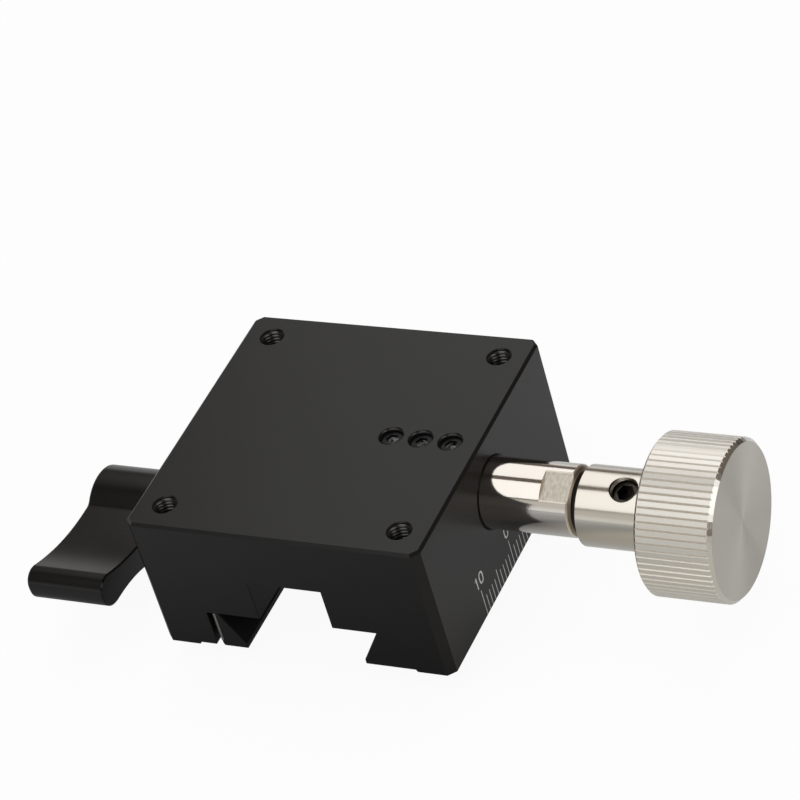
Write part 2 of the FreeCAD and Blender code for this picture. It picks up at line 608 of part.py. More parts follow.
def build_parts():
    washer_bore = SHAFT_RADIUS + WASHER_BORE_CLEARANCE
    parts = {
        "carriage_block": carriage_block(),
        "eccentric_sleeve": eccentric_sleeve(),
        "sleeve_bush_inner": bush(SLEEVE_START_X),
        "sleeve_bush_outer": bush(SLEEVE_END_X - BUSH_LENGTH),
        "pinion_shaft": pinion_shaft(),
        "thrust_washer_inner": x_ring(
            INNER_WASHER_RADIUS, washer_bore, GEAR_HALF_WIDTH, SLEEVE_START_X, SPINDLE_AXIS_Z,
        ),
        "thrust_washer_outer": x_ring(
            OUTER_WASHER_RADIUS, washer_bore, SLEEVE_END_X, HUB_FACE_X, SPINDLE_AXIS_Z,
        ),
        "knob": knob(),
        "knob_set_screw": knob_set_screw(),
        "lock_lever": lock_lever(),
        "lock_stud": lock_stud(),
        "clamp_tip": clamp_tip(),
        "lever_screw": lever_screw(),
        "lever_washer": x_ring(
            LEVER_WASHER_RADIUS, LEVER_WASHER_BORE, WASHER_FACE_X, RECESS_FLOOR_X, LEVER_AXIS_Z,
        ),
    }
    for name, x in zip(("inner", "middle", "outer"), SLEEVE_SCREW_XS):
        parts["sleeve_set_screw_" + name] = sleeve_set_screw(x)
    return parts


os.makedirs("parts", exist_ok=True)
for node, shape in build_parts().items():
    print(node, shape.isValid(), len(shape.Solids), round(shape.Volume, 2), shape.BoundBox)
    shape.exportStep("parts/" + node + ".step")
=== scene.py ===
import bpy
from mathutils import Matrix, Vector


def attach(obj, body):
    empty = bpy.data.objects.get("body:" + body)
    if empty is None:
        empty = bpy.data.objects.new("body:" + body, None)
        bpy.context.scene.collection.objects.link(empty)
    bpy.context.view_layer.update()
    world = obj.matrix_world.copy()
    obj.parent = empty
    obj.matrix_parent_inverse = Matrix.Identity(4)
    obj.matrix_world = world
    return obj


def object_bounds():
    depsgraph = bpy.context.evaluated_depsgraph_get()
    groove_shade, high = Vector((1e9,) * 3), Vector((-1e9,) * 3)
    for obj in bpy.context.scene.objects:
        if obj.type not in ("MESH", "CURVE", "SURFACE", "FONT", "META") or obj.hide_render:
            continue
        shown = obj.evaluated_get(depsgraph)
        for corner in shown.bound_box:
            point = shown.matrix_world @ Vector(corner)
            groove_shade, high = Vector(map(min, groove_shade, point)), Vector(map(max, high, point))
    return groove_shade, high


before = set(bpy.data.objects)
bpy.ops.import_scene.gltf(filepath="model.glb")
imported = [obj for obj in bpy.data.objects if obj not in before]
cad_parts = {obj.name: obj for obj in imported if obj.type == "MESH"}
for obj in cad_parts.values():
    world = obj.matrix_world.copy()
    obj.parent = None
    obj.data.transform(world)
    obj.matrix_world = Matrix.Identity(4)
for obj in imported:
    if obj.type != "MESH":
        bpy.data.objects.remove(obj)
LOADED_BOX = [list(corner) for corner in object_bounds()]

import logging
import math
from dataclasses import dataclass, field
from enum import Enum

import bpy
import numpy as np
from mathutils import Matrix, Vector

# Dresses the solids of a linear stage's carriage, and lights and frames them as the photograph does
LOG = logging.getLogger("stage_carriage")
MM = 0.001
BLACK = (0.0, 0.0, 0.0, 1.0)
WHITE = (1.0, 1.0, 1.0, 1.0)

# Places and sizes repeated from the solids, in millimetres, and one angle in degrees
HALF_SIDE = 20.0
BLOCK_BOTTOM_Z = -19.8
SLEEVE_AXIS_Z = -7.7
SLEEVE_RADIUS = 4.5
FLAT_START_X = 28.0
SLEEVE_END_X = 32.0
SPINDLE_AXIS_Z = -8.2
KNOB_END_X = 52.3
KNOB_GRIP_X = 42.5
KNOB_RADIUS = 9.97
KNOB_LAND_END_X = 51.8
LEVER_AXIS_Z = -17.35
KNOB_SCREW_X = 38.6
KNOB_SCREW_ANGLE = 107.5
STUD_SHOULDER_END_X = -21.4
JAW_EDGE_X = -11.65
TABLE_HOLE_OFFSET = 16.0
TABLE_HOLE_RADIUS = 1.5
SLEEVE_SCREW_XS = (8.0, 12.0, 16.0)
SLEEVE_SCREW_HOLE_RADIUS = 1.5
KNOB_SCREW_HOLE_RADIUS = 1.7

# Dressing pieces: where each thread starts, and the painted highlight strip from the block's bottom, in
# millimetres
TABLE_THREAD_DEPTH = 0.35
SLEEVE_SCREW_THREAD_DEPTH = 0.12
KNOB_THREAD_RADIUS = 4.72
STRIP_FOOT = 1.25
STRIP_TOP = 5.78
STRIP_WIDTH = 0.3
STRIP_RETURN = 0.05
STRIP_FILM = 0.004
STRIP_CORNER_FILM = 0.006

# Borders within a finish, in millimetres
# Depth below which the set screws' sockets carry a painted highlight
SOCKET_HIGHLIGHT_Z = -0.95
STUD_PITCH = 0.5
# Widths of the painted highlight along the wrench flat's outline and along its step
FLAT_RIM_WIDTH = 0.09
FLAT_STEP_WIDTH = 0.1
# Width of the painted dark reflection at the sleeve's end
SLEEVE_END_WIDTH = 0.3
# Depth below the knob's lands at which the painted shade in the grooves starts
GROOVE_START = 0.03


class Look(Enum):
    """Finishes of the object and of the studio."""

    BLOCK = "black_anodised_block"
    LEVER = "black_anodised_lever"
    SLEEVE = "bright_nickel_sleeve"
    KNOB = "satin_nickel_knob"
    SCREW = "black_oxide_screw"
    GREY_STEEL = "dull_steel"
    SET_SCREW = "black_set_screw"
    SLIT_HIGHLIGHT = "slit_highlight_strip"
    STEEL = "ground_steel"
    STUD = "threaded_steel_stud"
    BRONZE = "sintered_bronze"
    BRASS = "turned_brass"
    RESIN = "black_resin"
    MARK = "engraved_fill"
    THREAD = "cut_thread"
    FLOOR = "pale_floor"


@dataclass(frozen=True)
class Metal:
    """Plain values of one finish.

    Args:
        color: linear base colour.
        metallic: 1 for bare or plated metal.
        roughness: mean microfacet roughness.
        spread: how far the roughness varies over the surface.
        grain: bump distance of the fine grain in metres.
        scale: grain frequency in cells per metre.
        specular: level of the dielectric reflection.
    """

    color: tuple[float, float, float]
    metallic: float
    roughness: float
    spread: float = 0.04
    grain: float = 0.0
    scale: float = 4000.0
    specular: float = 0.5


FINISHES: dict[Look, Metal] = {
    Look.BLOCK: Metal((0.0082, 0.0081, 0.0081), 0.0, 0.29, 0.05, 0.000004, 9000.0, 0.235),
    Look.LEVER: Metal((0.0060, 0.0060, 0.0060), 0.0, 0.23, 0.05, 0.0000015, 7000.0, 0.29),
    Look.SCREW: Metal((0.012, 0.012, 0.0125), 0.4, 0.32, 0.05, 0.000003, 6000.0, 0.4),
    Look.BRONZE: Metal((0.42, 0.25, 0.12), 1.0, 0.42, 0.06, 0.000004, 5000.0),
    Look.BRASS: Metal((0.68, 0.47, 0.16), 1.0, 0.28, 0.05, 0.000002, 5000.0),
    Look.RESIN: Metal((0.015, 0.015, 0.015), 0.0, 0.5, 0.05, 0.000003, 5000.0, 0.3),
    Look.STEEL: Metal((0.52, 0.51, 0.5), 1.0, 0.26, 0.05, 0.000002, 5000.0),
    Look.GREY_STEEL: Metal((0.06, 0.052, 0.047), 1.0, 0.27, 0.08, 0.000008, 5000.0),
    # Bright metal on the strip down the slit's edge: painted highlight
    Look.SLIT_HIGHLIGHT: Metal((0.42, 0.41, 0.385), 1.0, 0.34, 0.05, 0.000003, 9000.0),
    Look.THREAD: Metal((0.016, 0.016, 0.0165), 0.2, 0.22, 0.05, 0.0, 4000.0, 1.0),
    Look.MARK: Metal((0.93, 0.93, 0.92), 0.0, 0.6, 0.05, 0.000003, 12000.0, 0.3),
}


class Graph:
    """Small builder round one node tree.

    Args:
        tree: the node tree that receives the nodes.
    """

    def __init__(self, tree: bpy.types.NodeTree) -> None:
        self.tree = tree

    def node(self, kind: str, **values: object) -> bpy.types.Node:
        """Adds a node and sets its plain properties.

        Args:
            kind: Blender's node type name.
            **values: properties of the node.

        Returns:
            The new node.
        """
        made = self.tree.nodes.new(kind)
        for key, value in values.items():
            setattr(made, key, value)
        return made

    def feed(self, socket: bpy.types.NodeSocket, value: object) -> None:
        """Links an output to a socket or sets a constant on it.

        Args:
            socket: input socket.
            value: an output socket, a number or a tuple.
        """
        if isinstance(value, bpy.types.NodeSocket):
            self.tree.links.new(value, socket)
        else:
            socket.default_value = value

    def math(self, operation: str, *inputs: object, clamp: bool = False) -> bpy.types.NodeSocket:
        """One scalar step.

        Args:
            operation: name of the scalar operation.
            *inputs: its operands.
            clamp: limits the result to 0..1.

        Returns:
            The value socket.
        """
        made = self.node("ShaderNodeMath", operation=operation, use_clamp=clamp)
        for socket, value in zip(made.inputs, inputs):
            self.feed(socket, value)
        return made.outputs[0]

    def vector(self, operation: str, *inputs: object) -> bpy.types.NodeSocket:
        """One vector step.

        Args:
            operation: name of the vector operation.
            *inputs: its operands.

        Returns:
            The vector socket.
        """
        made = self.node("ShaderNodeVectorMath", operation=operation)
        for socket, value in zip(made.inputs, inputs):
            self.feed(socket, value)
        return made.outputs[0]

    def noise(self, where: bpy.types.NodeSocket, scale: float, detail: float) -> bpy.types.NodeSocket:
        """Fractal noise between 0 and 1.

        Args:
            where: coordinate socket.
            scale: cells per metre.
            detail: number of octaves.

        Returns:
            The noise value.
        """
        made = self.node("ShaderNodeTexNoise")
        self.feed(made.inputs["Vector"], where)
        made.inputs["Scale"].default_value = scale
        made.inputs["Detail"].default_value = detail
        return made.outputs[0]

    def mix_color(self, factor: object, first: object, second: object) -> bpy.types.NodeSocket:
        """Blends two colours.

        Args:
            factor: 0 keeps the first colour.
            first: colour or socket.
            second: colour or socket.

        Returns:
            The colour socket.
        """
        made = self.node("ShaderNodeMix", data_type="RGBA")
        self.feed(made.inputs[0], factor)
        self.feed(made.inputs[6], first)
        self.feed(made.inputs[7], second)
        return made.outputs[2]

    def group(self, tree: bpy.types.NodeTree, **inputs: object) -> bpy.types.Node:
        """Places a shared node group.

        Args:
            tree: the group's tree.
            **inputs: values by socket name, with underscores for spaces.

        Returns:
            The group node.
        """
        made = self.node("ShaderNodeGroup", node_tree=tree)
        for key, value in inputs.items():
            self.feed(made.inputs[key.replace("_", " ")], value)
        return made


class GroupShop:
    """Makes the shader groups that several finishes share."""

    def __init__(self) -> None:
        self.grain = self._grain()
        self.round_x = self._round_x()

    def _start(
        self, name: str, inputs: list[tuple[str, str]], outputs: list[tuple[str, str]],
    ) -> tuple[bpy.types.NodeTree, Graph, bpy.types.Node, bpy.types.Node]:
        """Opens a shader group with its sockets.

        Args:
            name: the group's name.
            inputs: title and type of each input.
            outputs: title and type of each output.

        Returns:
            The tree, its builder, and the nodes that carry the inputs and the outputs.
        """
        tree = bpy.data.node_groups.new(name, "ShaderNodeTree")
        for title, kind in inputs:
            tree.interface.new_socket(title, in_out="INPUT", socket_type=kind)
        for title, kind in outputs:
            tree.interface.new_socket(title, in_out="OUTPUT", socket_type=kind)
        graph = Graph(tree)
        return tree, graph, graph.node("NodeGroupInput"), graph.node("NodeGroupOutput")

    def _grain(self) -> bpy.types.NodeTree:
        """Roughness and bump normal of a fine even grain with slow patches.

        Returns:
            The group's tree.
        """
        tree, g, source, sink = self._start(
            "fine_grain",
            [
                ("Where", "NodeSocketVector"), ("Roughness", "NodeSocketFloat"),
                ("Spread", "NodeSocketFloat"), ("Depth", "NodeSocketFloat"),
                ("Fineness", "NodeSocketFloat"), ("Under", "NodeSocketVector"),
            ],
            [
                ("Roughness", "NodeSocketFloat"), ("Normal", "NodeSocketVector"),
                ("Patch", "NodeSocketFloat"),
            ],
        )
        slow = g.noise(source.outputs["Where"], 90.0, 3.0)
        fine = g.node("ShaderNodeTexNoise")
        g.feed(fine.inputs["Vector"], source.outputs["Where"])
        g.feed(fine.inputs["Scale"], source.outputs["Fineness"])
        fine.inputs["Detail"].default_value = 2.0
        centred = g.math("SUBTRACT", g.math("ADD", slow, fine.outputs[0]), 1.0)
        shift = g.math("MULTIPLY", centred, source.outputs["Spread"])
        g.feed(sink.inputs["Roughness"], g.math("ADD", source.outputs["Roughness"], shift, clamp=True))
        bump = g.node("ShaderNodeBump")
        bump.inputs["Strength"].default_value = 1.0
        g.feed(bump.inputs["Distance"], source.outputs["Depth"])
        g.feed(bump.inputs["Height"], fine.outputs[0])
        g.feed(bump.inputs["Normal"], source.outputs["Under"])
        g.feed(sink.inputs["Normal"], bump.outputs[0])
        g.feed(sink.inputs["Patch"], slow)
        return tree

    def _round_x(self) -> bpy.types.NodeTree:
        """Axial place, radius and turn angle about an axis parallel to X, with the tangent round it.

        Returns:
            The group's tree.
        """
        tree, g, source, sink = self._start(
            "round_about_x",
            [("Where", "NodeSocketVector"), ("Axis Z", "NodeSocketFloat")],
            [
                ("Along", "NodeSocketFloat"), ("Radius", "NodeSocketFloat"), ("Angle", "NodeSocketFloat"),
                ("Tangent", "NodeSocketVector"), ("Streak Place", "NodeSocketVector"),
            ],
        )
        parts = g.node("ShaderNodeSeparateXYZ")
        g.feed(parts.inputs[0], source.outputs["Where"])
        height = g.math("SUBTRACT", parts.outputs[2], source.outputs["Axis Z"])
        across = g.math("MULTIPLY", parts.outputs[1], parts.outputs[1])
        square = g.math("ADD", across, g.math("MULTIPLY", height, height))
        angle = g.math("ARCTAN2", height, parts.outputs[1])
        g.feed(sink.inputs["Along"], parts.outputs[0])
        g.feed(sink.inputs["Radius"], g.math("SQRT", square))
        g.feed(sink.inputs["Angle"], angle)
        arm = g.node("ShaderNodeCombineXYZ")
        g.feed(arm.inputs[1], parts.outputs[1])
        g.feed(arm.inputs[2], height)
        turned = g.vector("CROSS_PRODUCT", (1.0, 0.0, 0.0), arm.outputs[0])
        world = g.node(
            "ShaderNodeVectorTransform", vector_type="VECTOR", convert_from="OBJECT", convert_to="WORLD",
        )
        g.feed(world.inputs[0], g.vector("NORMALIZE", turned))
        g.feed(sink.inputs["Tangent"], world.outputs[0])
        flat = g.node("ShaderNodeCombineXYZ")
        g.feed(flat.inputs[0], parts.outputs[0])
        g.feed(flat.inputs[1], g.math("SQRT", square))
        g.feed(sink.inputs["Streak Place"], flat.outputs[0])
        return tree


class FinishKit:
    """Makes every material of the object once.

    Args:
        groups: shared node groups.
    """

    # Rise of the shading slope towards the knob's axis, as a share of the radius
    dish = -0.05
    # Depth of the knob's grain in metres
    knob_grain = 0.0000011

    def __init__(self, groups: GroupShop) -> None:
        self.groups = groups
        self.made: dict[Look, bpy.types.Material] = {}
        for look, metal in FINISHES.items():
            self.made[look] = self._plain(look, metal)
        self.made[Look.SLEEVE] = self._sleeve()
        self.made[Look.KNOB] = self._knob()
        self.made[Look.STUD] = self._stud()
        self.made[Look.SET_SCREW] = self._set_screw()
        LOG.info("finishes: %d", len(self.made))

    def _open(self, look: Look) -> tuple[bpy.types.Material, Graph, bpy.types.Node, bpy.types.NodeSocket]:
        """Starts a material with its shader on the surface.

        Args:
            look: which finish.

        Returns:
            The material, its builder, its shader and the object coordinates.
        """
        material = bpy.data.materials.new(look.value)
        material.use_nodes = True
        material.node_tree.nodes.clear()
        graph = Graph(material.node_tree)
        shader = graph.node("ShaderNodeBsdfPrincipled")
        output = graph.node("ShaderNodeOutputMaterial")
        graph.feed(output.inputs["Surface"], shader.outputs[0])
        where = graph.node("ShaderNodeTexCoord").outputs["Object"]
        return material, graph, shader, where

    def _plain(self, look: Look, metal: Metal) -> bpy.types.Material:
        """Even finish with a fine grain.

        Args:
            look: which finish.
            metal: its values.

        Returns:
            The material.
        """
        material, g, shader, where = self._open(look)
        shader.inputs["Metallic"].default_value = metal.metallic
        shader.inputs["Specular IOR Level"].default_value = metal.specular
        under = g.node("ShaderNodeNewGeometry").outputs["Normal"]
        grain = g.group(
            self.groups.grain, Where=where, Roughness=metal.roughness, Spread=metal.spread,
            Depth=metal.grain, Fineness=metal.scale, Under=under,
        )
        g.feed(shader.inputs["Roughness"], grain.outputs["Roughness"])
        if metal.grain > 0:
            g.feed(shader.inputs["Normal"], grain.outputs["Normal"])
        darker = tuple(0.9 * value for value in metal.color) + (1.0,)
        lighter = tuple(1.1 * value for value in metal.color) + (1.0,)
        base = g.mix_color(grain.outputs["Patch"], darker, lighter)
        if look is Look.MARK:
            mirrored = g.node("ShaderNodeLightPath").outputs["Is Glossy Ray"]
            base = g.mix_color(mirrored, base, (0.01, 0.01, 0.01, 1.0))
        g.feed(shader.inputs["Base Color"], base)
        return material

    def _sleeve(self) -> bpy.types.Material:
        """Bright nickel with faint turned rings, and milled strokes on the wrench flats.

        Returns:
            The material.
        """
        material, g, shader, where = self._open(Look.SLEEVE)
        shader.inputs["Metallic"].default_value = 1.0
        place = g.group(self.groups.round_x, Where=where, Axis_Z=SLEEVE_AXIS_Z * MM)
        inside = g.math("LESS_THAN", place.outputs["Radius"], (SLEEVE_RADIUS - 0.02) * MM)
        beyond = g.math("GREATER_THAN", place.outputs["Along"], (FLAT_START_X - 0.01) * MM)
        flat_mask = g.math("MULTIPLY", inside, beyond)
        turned = g.vector("MULTIPLY", place.outputs["Streak Place"], (1.0, 0.02, 0.02))
        rings = g.noise(turned, 9000.0, 2.0)
        strokes = g.noise(g.vector("MULTIPLY", where, (1.0, 0.2, 0.2)), 6500.0, 4.0)
        scuffs = g.noise(g.vector("MULTIPLY", where, (1.0, 0.6, 0.6)), 3200.0, 3.0)
        strokes = g.math("ADD", g.math("MULTIPLY", strokes, 0.6), g.math("MULTIPLY", scuffs, 0.4))
        peel = g.noise(where, 3600.0, 3.0)
        height = g.math("ADD", g.math("MULTIPLY", rings, 0.1), g.math("MULTIPLY", peel, 0.8))
        milled = g.math("MULTIPLY", g.math("MULTIPLY", strokes, flat_mask), 3.0)
        bump = g.node("ShaderNodeBump")
        bump.inputs["Distance"].default_value = 0.0000025
        g.feed(bump.inputs["Height"], g.math("ADD", height, milled))
        g.feed(shader.inputs["Normal"], bump.outputs[0])
        patch = g.noise(where, 160.0, 3.0)
        rough = g.math("ADD", 0.06, g.math("MULTIPLY", patch, 0.07))
        g.feed(shader.inputs["Roughness"], g.math("ADD", rough, g.math("MULTIPLY", flat_mask, 0.26)))
        base = g.mix_color(patch, (0.60, 0.573, 0.533, 1.0), (0.67, 0.645, 0.608, 1.0))
        contrast = g.math("ADD", g.math("MULTIPLY", strokes, 2.2), -0.6, clamp=True)
        shade = g.mix_color(contrast, (0.46, 0.435, 0.37, 1.0), (0.85, 0.81, 0.71, 1.0))
        base = g.mix_color(flat_mask, base, shade)
        # Cream line round the wrench flat's outline and its step: painted highlight
        rim = g.math("GREATER_THAN", place.outputs["Radius"], (SLEEVE_RADIUS - FLAT_RIM_WIDTH) * MM)
        start = g.math("LESS_THAN", place.outputs["Along"], (FLAT_START_X + FLAT_STEP_WIDTH) * MM)
        flat_outline_highlight = g.math("MULTIPLY", g.math("MAXIMUM", rim, start), flat_mask)
        base = g.mix_color(flat_outline_highlight, base, (0.88, 0.82, 0.7, 1.0))
        # Dark brown on the sleeve's end chamfer: painted dark reflection
        end_dark_reflection = g.math("GREATER_THAN", place.outputs["Along"], (SLEEVE_END_X - SLEEVE_END_WIDTH) * MM)
        base = g.mix_color(end_dark_reflection, base, (0.31, 0.245, 0.19, 1.0))
        g.feed(shader.inputs["Base Color"], base)
        return material

    def _knob(self) -> bpy.types.Material:
        """Satin nickel: the end face has fine turned rings that spread highlights into rays.

        Returns:
            The material.
        """
        material, g, shader, where = self._open(Look.KNOB)
        shader.inputs["Metallic"].default_value = 1.0
        place = g.group(self.groups.round_x, Where=where, Axis_Z=SPINDLE_AXIS_Z * MM)
        face_mask = g.math("GREATER_THAN", place.outputs["Along"], (KNOB_END_X - 0.02) * MM)
        turned = g.vector("MULTIPLY", place.outputs["Streak Place"], (0.4, 1.0, 1.0))
        fine = g.noise(turned, 14000.0, 2.0)
        speck = g.noise(where, 5200.0, 2.0)
        height = g.math("ADD", g.math("MULTIPLY", fine, 0.7), g.math("MULTIPLY", speck, 0.5))
        dish = g.math("MULTIPLY", place.outputs["Radius"], self.dish / self.knob_grain)
        height = g.math("SUBTRACT", height, dish)
        bump = g.node("ShaderNodeBump")
        bump.inputs["Distance"].default_value = self.knob_grain
        g.feed(bump.inputs["Height"], height)
        g.feed(shader.inputs["Normal"], bump.outputs[0])
        patch = g.noise(where, 140.0, 3.0)
        rough = g.math("ADD", 0.12, g.math("MULTIPLY", patch, 0.07))
        grip_mask = g.math("GREATER_THAN", place.outputs["Along"], KNOB_GRIP_X * MM)
        before_edge = g.math("LESS_THAN", place.outputs["Along"], KNOB_LAND_END_X * MM)
        land_mask = g.math("MULTIPLY", grip_mask, before_edge)
        rough = g.math("ADD", rough, g.math("MULTIPLY", land_mask, 0.24))
        g.feed(shader.inputs["Roughness"], g.math("ADD", rough, g.math("MULTIPLY", face_mask, 0.2)))
        g.feed(shader.inputs["Anisotropic"], g.math("MULTIPLY", face_mask, 0.9))
        shader.inputs["Anisotropic Rotation"].default_value = 0.25
        g.feed(shader.inputs["Tangent"], place.outputs["Tangent"])
        base = g.mix_color(patch, (0.56, 0.535, 0.485, 1.0), (0.62, 0.595, 0.54, 1.0))
        base = g.mix_color(g.math("SUBTRACT", grip_mask, face_mask), base, (0.735, 0.72, 0.675, 1.0))
        # Darker colour down in the grip's grooves: painted shade
        depth = g.math("SUBTRACT", (KNOB_RADIUS - GROOVE_START) * MM, place.outputs["Radius"])
        groove_shade = g.math("MULTIPLY", depth, 25000.0, clamp=True)
        base = g.mix_color(g.math("MULTIPLY", groove_shade, land_mask), base, (0.685, 0.65, 0.59, 1.0))
        g.feed(shader.inputs["Base Color"], base)
        return material

    def _set_screw(self) -> bpy.types.Material:
        """Black oxide round the socket, with bright patches down its wall that are a painted highlight.

        Returns:
            The material.
        """
        material, g, shader, where = self._open(Look.SET_SCREW)
        parts = g.node("ShaderNodeSeparateXYZ")
        g.feed(parts.inputs[0], where)
        # Noisy bright patches down the socket's wall: painted highlight
        deep = g.math("LESS_THAN", parts.outputs[2], SOCKET_HIGHLIGHT_Z * MM)
        patch = g.math("ADD", g.math("MULTIPLY", g.noise(where, 1900.0, 2.0), 4.0), -1.5, clamp=True)
        socket_highlight = g.math("MULTIPLY", deep, patch)
        base = g.mix_color(socket_highlight, (0.0055, 0.0055, 0.0057, 1.0), (0.62, 0.61, 0.59, 1.0))
        g.feed(shader.inputs["Base Color"], base)
        shader.inputs["Specular IOR Level"].default_value = 0.12
        shader.inputs["Roughness"].default_value = 0.3
        return material

    def _stud(self) -> bpy.types.Material:
        """Steel whose thin end carries a helical thread as a normal wave.

        Returns:
            The material.
        """
        material, g, shader, where = self._open(Look.STUD)
        shader.inputs["Metallic"].default_value = 1.0
        shader.inputs["Base Color"].default_value = (0.5, 0.49, 0.48, 1.0)
        place = g.group(self.groups.round_x, Where=where, Axis_Z=LEVER_AXIS_Z * MM)
        turns = g.math("DIVIDE", place.outputs["Angle"], 2 * math.pi)
        phase = g.math("SUBTRACT", g.math("DIVIDE", place.outputs["Along"], STUD_PITCH * MM), turns)
        wave = g.math("PINGPONG", phase, 0.5)
        threaded = g.math("GREATER_THAN", place.outputs["Along"], STUD_SHOULDER_END_X * MM)
        bump = g.node("ShaderNodeBump")
        bump.inputs["Distance"].default_value = 0.00045
        g.feed(bump.inputs["Height"], g.math("MULTIPLY", wave, threaded))
        g.feed(shader.inputs["Normal"], bump.outputs[0])
        shader.inputs["Roughness"].default_value = 0.28
        return material


def grid_mesh(name: str, grid: np.ndarray) -> bpy.types.Object:
    """Makes a piece from a grid of points, one quad per cell.

    Args:
        name: piece name.
        grid: points of shape (rows, columns, 3) in millimetres.

    Returns:
        The object, at the origin.
    """
    rows, cols = grid.shape[:2]
    r, c = np.meshgrid(np.arange(rows - 1), np.arange(cols - 1), indexing="ij")
    first = r * cols + c
    quads = np.stack([first, first + 1, first + cols + 1, first + cols], axis=-1).reshape(-1, 4)
    mesh = bpy.data.meshes.new(name)
    mesh.from_pydata(grid.reshape(-1, 3) * MM, [], quads)
    mesh.polygons.foreach_set("use_smooth", np.ones(len(mesh.polygons), bool))
    mesh.update()
    piece = bpy.data.objects.new(name, mesh)
    bpy.context.scene.collection.objects.link(piece)
    return piece


@dataclass
class InnerThread:
    """Ridge of a tapped hole: a V swept along a helix on the hole's wall.

    Args:
        name: piece name.
        origin: point on the axis where the thread starts, in millimetres.
        axis: unit direction in which it runs.
        wall: radius of the plain wall.
        crest: radius of the ridge's top.
        pitch: axial distance of one turn.
        length: axial length.
        steps: points round one turn.
    """

    name: str
    origin: tuple[float, float, float]
    axis: tuple[float, float, float]
    wall: float
    crest: float
    pitch: float
    length: float
    steps: int = 40

    def build(self) -> bpy.types.Object:
        """Sweeps the V profile along the helix and fades its ends into the wall.

        Returns:
            The ridge.
        """
        axis = np.array(self.axis, float)
        side = np.cross(axis, [0.0, 0.0, 1.0] if abs(axis[2]) < 0.9 else [1.0, 0.0, 0.0])
        side /= np.linalg.norm(side)
        other = np.cross(axis, side)
        turns = self.length / self.pitch
        count = int(turns * self.steps) + 1
        t = np.linspace(0.0, turns, count)
        fade = np.clip(np.minimum(t, turns - t) / 0.3, 0.0, 1.0)
        profile = np.array([[0.03, -0.48], [-1.0, -0.07], [-1.0, 0.07], [0.03, 0.48]])
        depth = (self.wall - self.crest) * fade[:, None]
        radius = self.wall + np.where(profile[:, 0] < 0, profile[:, 0] * depth, profile[:, 0] * 0.3)
        along = (t[:, None] + profile[:, 1] * (0.2 + 0.8 * fade[:, None])) * self.pitch
        angle = 2 * math.pi * t[:, None]
        ring = np.cos(angle)[..., None] * side + np.sin(angle)[..., None] * other
        grid = np.array(self.origin) + radius[..., None] * ring + along[..., None] * axis
        return grid_mesh(self.name, grid)


